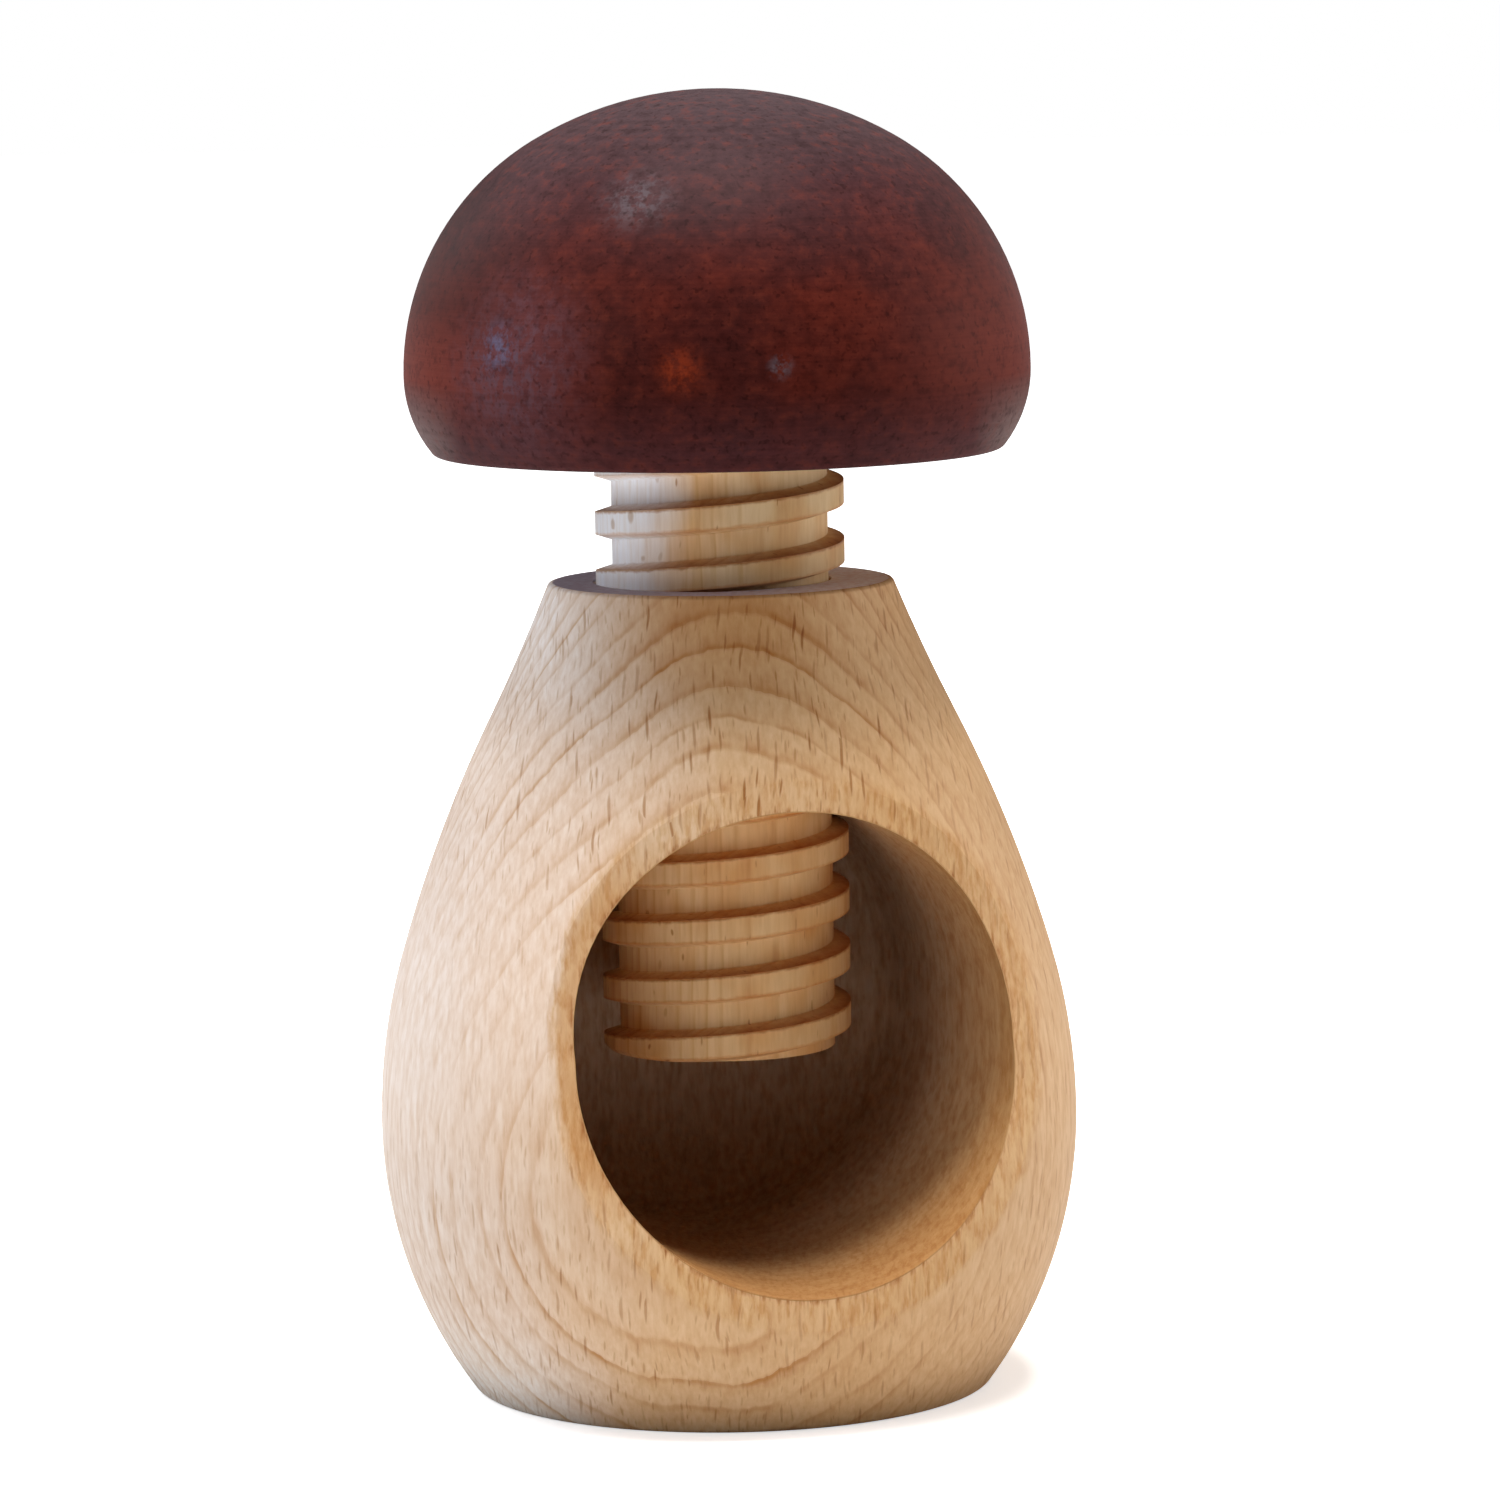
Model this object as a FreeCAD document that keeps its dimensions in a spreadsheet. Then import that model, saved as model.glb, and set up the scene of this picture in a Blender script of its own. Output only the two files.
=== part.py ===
import FreeCAD, Part
import math
import os
import Sketcher
from FreeCAD import Rotation, Vector

# Mushroom nutcracker, turned from beech.
#
# A bulbous stem stands on its flat base and has a round cavity bored into it
# from the side.  Its neck carries an inside thread.  A wooden screw runs down
# through the neck into the cavity, and the mushroom cap is its handle: turning
# the cap drives the screw's flat end against the nut that lies in the cavity.
#
# Frame: origin at the centre of the base, +Z up along the screw, millimetres.
# The cavity opens towards -Y.  The cap stands part-way open, cap_lift above
# the neck.

SIZES = [
    # the stem's turned outline, from the base up
    ("base_radius", 26.7, "flat foot, before its edge is rounded"),
    ("base_edge_round", 1.0, "rounding of the foot's edge"),
    ("belly_radius", 36.0, "widest part of the stem"),
    ("belly_height", 28.0, "height of the widest part"),
    ("shoulder_radius", 33.6, "outline where the belly arc ends"),
    ("shoulder_height", 45.0, "height of that point"),
    ("throat_radius", 23.8, "outline where the flank turns hollow"),
    ("throat_drop", 13.5, "how far that point is below the neck's top"),
    ("neck_radius", 17.7, "top face of the neck"),
    ("neck_height", 83.5, "height of the top face"),
    ("neck_edge_round", 0.5, "rounding of the top face's edge"),
    # the cavity for the nut
    ("cavity_radius", 22.8, "round cutter that bores it in from the side"),
    ("cavity_height", 38.5, "height of the cavity's middle"),
    ("cavity_shift", 2.4, "rise of the cutter between its two passes"),
    ("cavity_depth", 25.0, "how far it runs past the screw's axis"),
    ("cavity_corner_round", 10.0, "hollow corner of its blind end"),
    ("cavity_lip_face", 3.4, "shallow bevel sanded round its mouth, along the outside"),
    ("cavity_lip_depth", 1.2, "the same bevel, along the cavity's wall"),
    # the thread: single start, right-handed, square-cut with sloping flanks
    ("thread_pitch", 6.0, "rise of one turn"),
    ("root_radius", 11.1, "floor of the screw's groove"),
    ("ridge_depth", 1.7, "how far the screw's ridge stands out from that floor"),
    ("ridge_foot_half", 1.85, "half the ridge's width at its foot"),
    ("ridge_crest_half", 1.2, "half the ridge's width at its crest"),
    ("thread_gap", 0.35, "radial play between screw and neck"),
    ("flank_gap", 0.3, "play along the axis on each flank"),
    ("thread_entry", 2.7, "groove centre below the neck's top, on the +X side"),
    # the screw and how it stands
    ("spindle_reach", 61.6, "length of screw below the cap"),
    ("spindle_end_chamfer", 0.5, "bevel of the sawn ends"),
    ("cap_lift", 13.3, "gap between neck and cap as it stands"),
    # the mushroom cap
    ("cap_radius", 32.1, "widest part of the cap"),
    ("cap_widest_height", 8.2, "height of that part above the underside"),
    ("cap_underside_radius", 29.1, "flat underside, before its edge is rounded"),
    ("cheek_radius", 18.4, "outline where the side's arc meets the crown's"),
    ("cheek_height", 32.0, "height of that point above the underside"),
    ("cap_edge_round", 1.0, "rounding of the underside's edge"),
    # how cap and screw are joined
    ("socket_depth", 12.0, "length of screw let into the cap"),
    ("socket_gap", 0.1, "glue gap round the screw in its socket"),
    ("dowel_radius", 4.0, "glued dowel on the axis"),
    ("dowel_length", 26.0, "half of it in the screw, half in the cap"),
    ("dowel_chamfer", 0.8, "bevel of its ends"),
    ("dowel_gap", 0.05, "fit of the dowel in its holes"),
    ("dowel_end_gap", 1.0, "glue room past each end of the dowel"),
    ("flute_radius", 0.5, "glue flutes along the dowel"),
]
CREST_RADIUS = "root_radius + ridge_depth"
FLUTES = 12
FULL_TURN = 360

doc = FreeCAD.newDocument("mushroom_nutcracker")
sheet = doc.addObject("Spreadsheet::Sheet", "Sizes")
for row, (alias, size, note) in enumerate(SIZES, start=1):
    sheet.set(f"A{row}", alias)
    sheet.set(f"B{row}", str(size))
    sheet.set(f"C{row}", note)
    sheet.setAlias(f"B{row}", alias)
doc.recompute()
ALIASES = [alias for alias, size, note in SIZES]


def number(formula):
    """The value of a sum of sizes, such as 'neck_height - throat_drop'."""
    total = 0.0
    sign = 1.0
    for word in formula.split():
        if word in ("+", "-"):
            sign = 1.0 if word == "+" else -1.0
        else:
            total += sign * float(sheet.get(word))
    return total


def bound(formula):
    """The same formula as an expression that reads the sheet."""
    words = formula.replace("(", "( ").replace(")", " )").split()
    return " ".join("Sizes." + word if word in ALIASES else word for word in words)


def new_body(label):
    body = doc.addObject("PartDesign::Body", label)
    body.Label = label
    return body


def new_sketch(body, name, role):
    """A sketch on one of the body's own origin planes."""
    sketch = body.newObject("Sketcher::SketchObject", name)
    plane = next(item for item in body.Origin.OriginFeatures if item.Role == role)
    sketch.AttachmentSupport = [(plane, "")]
    sketch.MapMode = "FlatFace"
    return sketch


def tie(sketch, kind, geometry, point, formula):
    """Holds a point's distance from the sketch's origin at a formula's value."""
    index = sketch.addConstraint(
        Sketcher.Constraint(kind, -1, 1, geometry, point, number(formula)))
    sketch.setExpression(f"Constraints[{index}]", bound(formula))


def tie_radius(sketch, geometry, formula):
    index = sketch.addConstraint(Sketcher.Constraint("Radius", geometry, number(formula)))
    sketch.setExpression(f"Constraints[{index}]", bound(formula))


def tie_point(sketch, geometry, point, across, up):
    """Places a point by its two formulas; '' puts it on the axis instead."""
    if across:
        tie(sketch, "DistanceX", geometry, point, across)
    else:
        sketch.addConstraint(Sketcher.Constraint("PointOnObject", geometry, point, -2))
    if up:
        tie(sketch, "DistanceY", geometry, point, up)
    else:
        sketch.addConstraint(Sketcher.Constraint("PointOnObject", geometry, point, -1))


def polygon(sketch, corners):
    """A closed outline whose corners are pairs of formulas."""
    spots = [Vector(number(across), number(up), 0) for across, up in corners]
    lines = []
    for start, end in zip(spots, spots[1:] + spots[:1]):
        lines.append(sketch.addGeometry(Part.LineSegment(start, end), False))
    for line, following in zip(lines, lines[1:] + lines[:1]):
        sketch.addConstraint(Sketcher.Constraint("Coincident", line, 2, following, 1))
    for line, (across, up) in zip(lines, corners):
        tie_point(sketch, line, 1, across, up)


def circle(sketch, up, radius):
    """A circle on the sketch's vertical axis."""
    middle = Vector(0, number(up), 0)
    ring = sketch.addGeometry(Part.Circle(middle, Vector(0, 0, 1), number(radius)), False)
    if up:
        sketch.addConstraint(Sketcher.Constraint("PointOnObject", ring, 3, -2))
        tie(sketch, "DistanceY", ring, 3, up)
    else:
        sketch.addConstraint(Sketcher.Constraint("Coincident", ring, 3, -1, 1))
    tie_radius(sketch, ring, radius)


def add_arc(sketch, start, end, centre):
    """An arc from start to end the short way.  Returns it with its point numbers."""
    angles = [math.atan2(spot.y - centre.y, spot.x - centre.x) for spot in (start, end)]
    turn = (angles[1] - angles[0] + math.pi) % (2 * math.pi) - math.pi
    first, last = (angles[0], angles[0] + turn) if turn > 0 else (angles[0] + turn, angles[0])
    ring = Part.Circle(centre, Vector(0, 0, 1), (start - centre).Length)
    arc = sketch.addGeometry(Part.ArcOfCircle(ring, first, last), False)
    return (arc, 1, 2) if turn > 0 else (arc, 2, 1)


def arc_centre(start, heading, end):
    """Centre of the arc that leaves start along heading and reaches end."""
    side = Vector(-heading.y, heading.x, 0)
    chord = end - start
    return start + side * (chord.dot(chord) / (2 * chord.dot(side)))


def heading_at(end, centre, start, heading):
    """The direction in which that arc arrives."""
    side = Vector(-heading.y, heading.x, 0)
    inwards = (centre - end).normalize() * math.copysign(1, (centre - start).dot(side))
    return Vector(inwards.y, -inwards.x, 0)


def turned_flank(sketch, nodes):
    """Arcs through the nodes, each tangent to the one before and upright at the second node."""
    spots = [Vector(number(across), number(up), 0) for across, up in nodes]
    heading = Vector(0, 1, 0)
    arcs = [add_arc(sketch, spots[0], spots[1], arc_centre(spots[1], heading, spots[0]))]
    for start, end in zip(spots[1:], spots[2:]):
        centre = arc_centre(start, heading, end)
        arcs.append(add_arc(sketch, start, end, centre))
        heading = heading_at(end, centre, start, heading)
    for (arc, begin, finish), (following, next_begin, next_finish) in zip(arcs, arcs[1:]):
        sketch.addConstraint(Sketcher.Constraint("Tangent", arc, finish, following, next_begin))
    # upright at the second node: the centre of the arc there is level with it
    sketch.addConstraint(Sketcher.Constraint("Horizontal", arcs[1][0], 3, arcs[1][0], arcs[1][1]))
    tie_point(sketch, arcs[0][0], arcs[0][1], *nodes[0])
    for (arc, begin, finish), node in zip(arcs, nodes[1:]):
        tie_point(sketch, arc, finish, *node)
    return arcs, spots[-1], heading


def shut_outline(sketch, foot_point, top_point, height):
    """Closes an outline down the axis and out along the base to its first point."""
    axis = sketch.addGeometry(Part.LineSegment(Vector(0, height, 0), Vector(0, 0, 0)), False)
    base = sketch.addGeometry(Part.LineSegment(Vector(0, 0, 0), Vector(height, 0, 0)), False)
    sketch.addConstraint(Sketcher.Constraint("Coincident", axis, 2, -1, 1))
    sketch.addConstraint(Sketcher.Constraint("Coincident", base, 1, -1, 1))
    sketch.addConstraint(Sketcher.Constraint("Coincident", base, 2, *foot_point))
    sketch.addConstraint(Sketcher.Constraint("Coincident", axis, 1, *top_point))
    sketch.addConstraint(Sketcher.Constraint("PointOnObject", axis, 1, -2))


def revolve(body, name, kind, sketch, axis="V_Axis"):
    feature = body.newObject(kind, name)
    feature.Profile = sketch
    feature.ReferenceAxis = (sketch, [axis])
    feature.Angle = FULL_TURN
    doc.recompute()
    return feature


def pocket(body, name, sketch, formula, reverse=False):
    """Cuts the sketch to a depth, or right through when the formula is ''."""
    feature = body.newObject("PartDesign::Pocket", name)
    feature.Profile = sketch
    feature.Reversed = reverse
    if formula:
        feature.Type = "Length"
        feature.setExpression("Length", bound(formula))
    else:
        feature.Type = "ThroughAll"
    doc.recompute()
    return feature


def dress(body, name, kind, base, chosen):
    """A fillet or chamfer on the edges of base that the test chooses."""
    edges = [f"Edge{count}" for count, edge in enumerate(base.Shape.Edges, start=1)
             if not edge.Degenerated and chosen(edge)]
    feature = body.newObject(kind, name)
    feature.Base = (base, edges)
    return feature


def fillet(body, name, base, chosen, formula):
    """Rounds the chosen edges."""
    feature = dress(body, name, "PartDesign::Fillet", base, chosen)
    feature.setExpression("Radius", bound(formula))
    doc.recompute()
    return feature


def bevel(body, name, base, chosen, formula, other_formula):
    """Bevels the chosen edges, by one length along each face."""
    feature = dress(body, name, "PartDesign::Chamfer", base, chosen)
    feature.ChamferType = "Two distances"
    feature.setExpression("Size", bound(formula))
    feature.setExpression("Size2", bound(other_formula))
    doc.recompute()
    return feature


def ring_at(height, radius):
    """A test for the level circle of that height and radius."""
    def test(edge):
        spots = edge.discretize(5)
        return all(abs(spot.z - height) < 0.01 and abs(math.hypot(spot.x, spot.y) - radius) < 0.01
                   for spot in spots)
    return test


def helix(body, name, kind, sketch, height):
    """Sweeps the sketch up a right-handed helix about the body's Z axis."""
    feature = body.newObject(kind, name)
    feature.Profile = sketch
    feature.ReferenceAxis = (sketch, ["V_Axis"])
    feature.Mode = "pitch-height-angle"
    feature.LeftHanded = False
    feature.Reversed = False
    feature.setExpression("Pitch", bound("thread_pitch"))
    feature.setExpression("Height", bound(height))
    doc.recompute()
    return feature


def ridge_profile(body, name, start, inner, outer, foot_half, crest_half):
    """The thread's section: a trapezium about a level line at height start."""
    sketch = new_sketch(body, name, "XZ_Plane")
    sketch.setExpression("AttachmentOffset.Base.y", bound(start))
    foot, crest = number(foot_half), number(crest_half)
    near, far = number(inner), number(outer)
    spots = [Vector(near, foot, 0), Vector(near, -foot, 0), Vector(far, -crest, 0), Vector(far, crest, 0)]
    lines = []
    for begin, end in zip(spots, spots[1:] + spots[:1]):
        lines.append(sketch.addGeometry(Part.LineSegment(begin, end), False))
    for line, following in zip(lines, lines[1:] + lines[:1]):
        sketch.addConstraint(Sketcher.Constraint("Coincident", line, 2, following, 1))
    for upright in (lines[0], lines[2]):
        sketch.addConstraint(Sketcher.Constraint("Symmetric", upright, 1, upright, 2, -1))
    tie_point(sketch, lines[0], 1, inner, foot_half)
    tie_point(sketch, lines[3], 1, outer, crest_half)
    return sketch


# %% stem_body: the turned stem with its cavity and threaded neck
stem = new_body("stem_body")

outline = new_sketch(stem, "stem_outline", "XZ_Plane")
flank, neck_corner, heading = turned_flank(outline, [
    ("base_radius", ""), ("belly_radius", "belly_height"), ("shoulder_radius", "shoulder_height"),
    ("throat_radius", "neck_height - throat_drop"), ("neck_radius", "neck_height")])
top_line = outline.addGeometry(Part.LineSegment(neck_corner, Vector(0, neck_corner.y, 0)), False)
outline.addConstraint(Sketcher.Constraint("Coincident", flank[-1][0], flank[-1][2], top_line, 1))
outline.addConstraint(Sketcher.Constraint("Horizontal", top_line))
shut_outline(outline, flank[0][:2], (top_line, 2), neck_corner.y)
turned_stem = revolve(stem, "turned_stem", "PartDesign::Revolution", outline)

# the cavity: bored blind from the front in two passes, the second a little higher, by a
# round-nosed cutter that leaves a hollow corner
CUTTER_REACH = "belly_radius + cavity_lip_face"
CUTTER_NOSE = CUTTER_REACH + " + cavity_depth"


def bore(name, height):
    """One pass of the cutter at that height."""
    half = new_sketch(stem, name + "_cutter", "YZ_Plane")
    half.setExpression("AttachmentOffset.Base.x", bound("- (" + CUTTER_REACH + ")"))
    half.setExpression("AttachmentOffset.Base.y", bound(height))
    nose, wall_height, corner = number(CUTTER_NOSE), number("cavity_radius"), number("cavity_corner_round")
    spots = [Vector(0, 0, 0), Vector(0, wall_height, 0), Vector(nose - corner, wall_height, 0),
             Vector(nose, wall_height - corner, 0), Vector(nose, 0, 0)]
    shank, wall = [half.addGeometry(Part.LineSegment(*pair), False) for pair in zip(spots[:2], spots[1:3])]
    round_nose = add_arc(half, spots[2], spots[3], Vector(nose - corner, wall_height - corner, 0))
    end_face, middle_line = [half.addGeometry(Part.LineSegment(*pair), False)
                             for pair in ((spots[3], spots[4]), (spots[4], spots[0]))]
    half.addConstraint(Sketcher.Constraint("Coincident", shank, 1, -1, 1))
    half.addConstraint(Sketcher.Constraint("Coincident", shank, 2, wall, 1))
    half.addConstraint(Sketcher.Constraint("Tangent", wall, 2, round_nose[0], round_nose[1]))
    half.addConstraint(Sketcher.Constraint("Tangent", round_nose[0], round_nose[2], end_face, 1))
    half.addConstraint(Sketcher.Constraint("Coincident", end_face, 2, middle_line, 1))
    half.addConstraint(Sketcher.Constraint("Coincident", middle_line, 2, shank, 1))
    half.addConstraint(Sketcher.Constraint("Vertical", shank))
    half.addConstraint(Sketcher.Constraint("Horizontal", wall))
    half.addConstraint(Sketcher.Constraint("Vertical", end_face))
    tie_point(half, end_face, 2, CUTTER_NOSE, "")
    tie(half, "DistanceY", wall, 1, "cavity_radius")
    tie_radius(half, round_nose[0], "cavity_corner_round")
    return revolve(stem, name, "PartDesign::Groove", half, "H_Axis")


low_pass = bore("low_pass", "cavity_height - cavity_shift / 2")
cavity = bore("high_pass", "cavity_height + cavity_shift / 2")


def cavity_rim(edge):
    """True for a front edge whose every point lies on the cavity's wall."""
    for spot in edge.discretize(7):
        rise = abs(spot.z - number("cavity_height")) - number("cavity_shift") / 2
        if abs(math.hypot(spot.x, rise) - number("cavity_radius")) > 0.01 or spot.y > 0:
            return False
    return True


sanded_lip = bevel(stem, "cavity_lip", cavity, cavity_rim, "cavity_lip_face", "cavity_lip_depth")
soft_foot = fillet(stem, "foot_edge", sanded_lip,
                   ring_at(0, number("base_radius")), "base_edge_round")
soft_neck = fillet(stem, "neck_edge", soft_foot,
                   ring_at(number("neck_height"), number("neck_radius")), "neck_edge_round")

# the bore and thread of the neck, both clear of the screw by the named play
bore_mouth = new_sketch(stem, "neck_bore_mouth", "XY_Plane")
bore_mouth.setExpression("AttachmentOffset.Base.z", bound("neck_height"))
circle(bore_mouth, "", "root_radius + thread_gap")
neck_bore = pocket(stem, "neck_bore", bore_mouth, "neck_height - cavity_height")
groove_section = ridge_profile(
    stem, "groove_section",
    "neck_height - thread_entry"
    " - thread_pitch * floor((neck_height - thread_entry - cavity_height) / thread_pitch)",
    "root_radius", CREST_RADIUS + " + thread_gap",
    "ridge_foot_half + flank_gap", "ridge_crest_half + flank_gap")
neck_thread = helix(stem, "neck_thread", "PartDesign::SubtractiveHelix", groove_section,
                    "neck_height - cavity_height + thread_pitch")

# %% screw_spindle: threaded rod, its lower end sawn flat, its upper end let into the cap
spindle = new_body("screw_spindle")
SPINDLE_LENGTH = "spindle_reach + socket_depth"

rod_half = new_sketch(spindle, "rod_half", "XZ_Plane")
polygon(rod_half, [("", ""), ("root_radius", ""), ("root_radius", SPINDLE_LENGTH), ("", SPINDLE_LENGTH)])
rod = revolve(spindle, "rod", "PartDesign::Revolution", rod_half)
ridge_section = ridge_profile(
    spindle, "ridge_section", "- thread_pitch",
    "root_radius - flank_gap", CREST_RADIUS, "ridge_foot_half", "ridge_crest_half")
ridge = helix(spindle, "ridge", "PartDesign::AdditiveHelix", ridge_section,
              SPINDLE_LENGTH + " + thread_pitch + thread_pitch")

# both ends are sawn square and bevelled, which also cuts off the thread's overrun
saw_cuts = new_sketch(spindle, "saw_cuts", "XZ_Plane")
saw_cuts.setExpression("AttachmentOffset.Base.y", bound("- 3 * thread_pitch"))
OVERRUN = "thread_pitch + thread_pitch + thread_pitch"
LOW_END, HIGH_END = OVERRUN, OVERRUN + " + " + SPINDLE_LENGTH
OUTSIDE = CREST_RADIUS + " + thread_pitch"
BEVEL_START = CREST_RADIUS + " - spindle_end_chamfer"
polygon(saw_cuts, [("", ""), (OUTSIDE, ""), (OUTSIDE, LOW_END + " + spindle_end_chamfer + thread_pitch"),
                   (BEVEL_START, LOW_END), ("", LOW_END)])
polygon(saw_cuts, [("", HIGH_END), (BEVEL_START, HIGH_END),
                   (OUTSIDE, HIGH_END + " - spindle_end_chamfer - thread_pitch"),
                   (OUTSIDE, HIGH_END + " + " + OVERRUN), ("", HIGH_END + " + " + OVERRUN)])
sawn = revolve(spindle, "sawn_ends", "PartDesign::Groove", saw_cuts)
spindle_hole = new_sketch(spindle, "spindle_hole", "XY_Plane")
spindle_hole.setExpression("AttachmentOffset.Base.z", bound(SPINDLE_LENGTH))
circle(spindle_hole, "", "dowel_radius + dowel_gap")
drilled_spindle = pocket(spindle, "spindle_dowel_hole", spindle_hole, "dowel_length / 2 + dowel_end_gap")
# screwed into the neck: the turn that goes with its height keeps ridge and groove in mesh
spindle.Placement.Rotation = Rotation(Vector(0, 0, 1), 1)
spindle.setExpression("Placement.Base.z", bound("neck_height + cap_lift - spindle_reach"))
spindle.setExpression("Placement.Rotation.Angle", bound(
    "360 * (cap_lift - spindle_reach + thread_entry) / thread_pitch"))

# %% cap: the mushroom head that turns the screw
cap = new_body("cap")

dome = new_sketch(cap, "cap_outline", "XZ_Plane")
flank, cheek, heading = turned_flank(dome, [
    ("cap_underside_radius", ""), ("cap_radius", "cap_widest_height"), ("cheek_radius", "cheek_height")])
# the crown's arc goes on from the cheek and has its centre on the axis, so its top is level
crown_centre = Vector(0, cheek.y + cheek.x * heading.x / heading.y, 0)
crown_top = crown_centre + Vector(0, (cheek - crown_centre).Length, 0)
crown = add_arc(dome, cheek, crown_top, crown_centre)
dome.addConstraint(Sketcher.Constraint("Tangent", flank[-1][0], flank[-1][2], crown[0], crown[1]))
dome.addConstraint(Sketcher.Constraint("PointOnObject", crown[0], 3, -2))
shut_outline(dome, flank[0][:2], (crown[0], crown[2]), crown_top.y)
turned_cap = revolve(cap, "turned_cap", "PartDesign::Revolution", dome)
soft_edge = fillet(cap, "cap_edge", turned_cap, ring_at(0, number("cap_underside_radius")),
                   "cap_edge_round")

socket_mouth = new_sketch(cap, "socket_mouth", "XY_Plane")
circle(socket_mouth, "", CREST_RADIUS + " + socket_gap")
socket = pocket(cap, "socket", socket_mouth, "socket_depth", reverse=True)
cap_hole = new_sketch(cap, "cap_hole", "XY_Plane")
cap_hole.setExpression("AttachmentOffset.Base.z", bound("socket_depth"))
circle(cap_hole, "", "dowel_radius + dowel_gap")
drilled_cap = pocket(cap, "cap_dowel_hole", cap_hole, "dowel_length / 2 + dowel_end_gap", reverse=True)
cap.setExpression("Placement.Base.z", bound("neck_height + cap_lift"))

# %% cap_dowel: fluted dowel on the axis, half in the screw and half in the cap
dowel = new_body("cap_dowel")

dowel_half = new_sketch(dowel, "dowel_half", "XZ_Plane")
polygon(dowel_half, [("", ""), ("dowel_radius - dowel_chamfer", ""), ("dowel_radius", "dowel_chamfer"),
                     ("dowel_radius", "dowel_length - dowel_chamfer"),
                     ("dowel_radius - dowel_chamfer", "dowel_length"), ("", "dowel_length")])
pin = revolve(dowel, "pin", "PartDesign::Revolution", dowel_half)
flute_section = new_sketch(dowel, "flute_section", "XY_Plane")
circle(flute_section, "dowel_radius", "flute_radius")
flute = pocket(dowel, "flute", flute_section, "", reverse=True)
flutes = dowel.newObject("PartDesign::PolarPattern", "flutes")
flutes.Originals = [flute]
flutes.Axis = (flute_section, ["N_Axis"])
flutes.Angle = FULL_TURN
flutes.Occurrences = FLUTES
dowel.Tip = flutes
dowel.setExpression("Placement.Base.z", bound(
    "neck_height + cap_lift + socket_depth - dowel_length / 2"))
doc.recompute()

# %% every feature is sound, and every cut took something away
PIECES = [stem, spindle, cap, dowel]
for item in doc.Objects:
    faults = [word for word in item.State if word in ("Invalid", "Error")]
    if faults:
        raise RuntimeError(f"{item.Name} is {faults}")
CUTS = [(turned_stem, low_pass), (low_pass, cavity), (cavity, sanded_lip), (sanded_lip, soft_foot),
        (soft_foot, soft_neck), (soft_neck, neck_bore), (neck_bore, neck_thread), (ridge, sawn),
        (sawn, drilled_spindle), (turned_cap, soft_edge), (soft_edge, socket),
        (socket, drilled_cap), (pin, flutes)]
for before, after in CUTS:
    if after.Shape.Volume >= before.Shape.Volume:
        raise RuntimeError(f"{after.Name} cuts nothing")
if ridge.Shape.Volume <= rod.Shape.Volume:
    raise RuntimeError("the ridge adds nothing to the rod")
for body in PIECES:
    shape = body.Shape
    if shape.isNull() or not shape.isValid() or len(shape.Solids) != 1:
        raise RuntimeError(f"{body.Label} is not one sound solid")

os.makedirs("parts", exist_ok=True)
for body in PIECES:
    body.Shape.exportStep(f"parts/{body.Label}.step")
    box = body.Shape.optimalBoundingBox(False)
    print(f"{body.Label}: {body.Shape.Volume / 1000:.1f} cm3, z {box.ZMin:.1f} to {box.ZMax:.1f} mm")
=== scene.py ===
# %% [markdown]
# # A mushroom nutcracker in beech
#
# The object is a wooden nutcracker shaped like a mushroom. Its bulbous stem has a
# cavity for the nut, a wooden screw runs down through the neck into that cavity,
# and the stained cap is the handle that turns the screw.
#
# The four solids come from the CAD frame with their true shape, so this file keeps
# them and spends its effort on what a solid can't say: how beech looks when it is
# turned, sanded, bored, threaded and stained.

# %% load the frame
import math

import bpy
from mathutils import Matrix, Vector


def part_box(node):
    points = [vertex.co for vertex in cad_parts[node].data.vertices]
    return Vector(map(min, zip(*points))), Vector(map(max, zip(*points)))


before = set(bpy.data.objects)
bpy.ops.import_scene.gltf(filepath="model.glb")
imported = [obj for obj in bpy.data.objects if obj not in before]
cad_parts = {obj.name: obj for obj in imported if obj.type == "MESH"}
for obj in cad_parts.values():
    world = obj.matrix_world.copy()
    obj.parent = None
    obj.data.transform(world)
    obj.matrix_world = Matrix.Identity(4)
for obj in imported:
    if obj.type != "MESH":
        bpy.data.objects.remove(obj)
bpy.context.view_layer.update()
print("nodes:", sorted(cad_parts))

# %% [markdown]
# Blender works in metres, while wood, threads and rings are easier to think of in
# millimetres. One small function keeps the two apart. The neck's height comes from
# the frame, so that it always fits the model. Every other height in this file is
# counted from the base, as the neck's is.

# %% lengths
def mm(length):
    """A length in millimetres as Blender's metres."""
    return length / 1000


stem_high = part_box("stem_body")[1]
neck_top = stem_high.z
print(f"neck top {neck_top * 1000:.1f} mm up, belly {stem_high.x * 2000:.1f} mm across")

# %% [markdown]
# ## The camera
#
# A long lens from a little above flattens the object's perspective, so that its
# outline reads true. The camera stands to the left of the cavity's mouth, so that
# the mouth turns to the right and its inner wall shows. It aims a little beside
# the screw's axis and leans by under a degree.

# %% camera
CAMERA_TURN = math.radians(15.7)
CAMERA_DIP = math.radians(6.92)
CAMERA_LEAN = math.radians(-0.9)
CAMERA_DISTANCE = mm(703)
AIM_HEIGHT = mm(65.8)
AIM_ASIDE = mm(2.75)
LENS_LENGTH = 163.7
SENSOR_WIDTH = 36

camera_right = Vector((math.cos(CAMERA_TURN), -math.sin(CAMERA_TURN), 0))
to_camera = Vector((-math.sin(CAMERA_TURN) * math.cos(CAMERA_DIP),
                    -math.cos(CAMERA_TURN) * math.cos(CAMERA_DIP),
                    math.sin(CAMERA_DIP)))
aim = camera_right * AIM_ASIDE + Vector((0, 0, AIM_HEIGHT))

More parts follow.
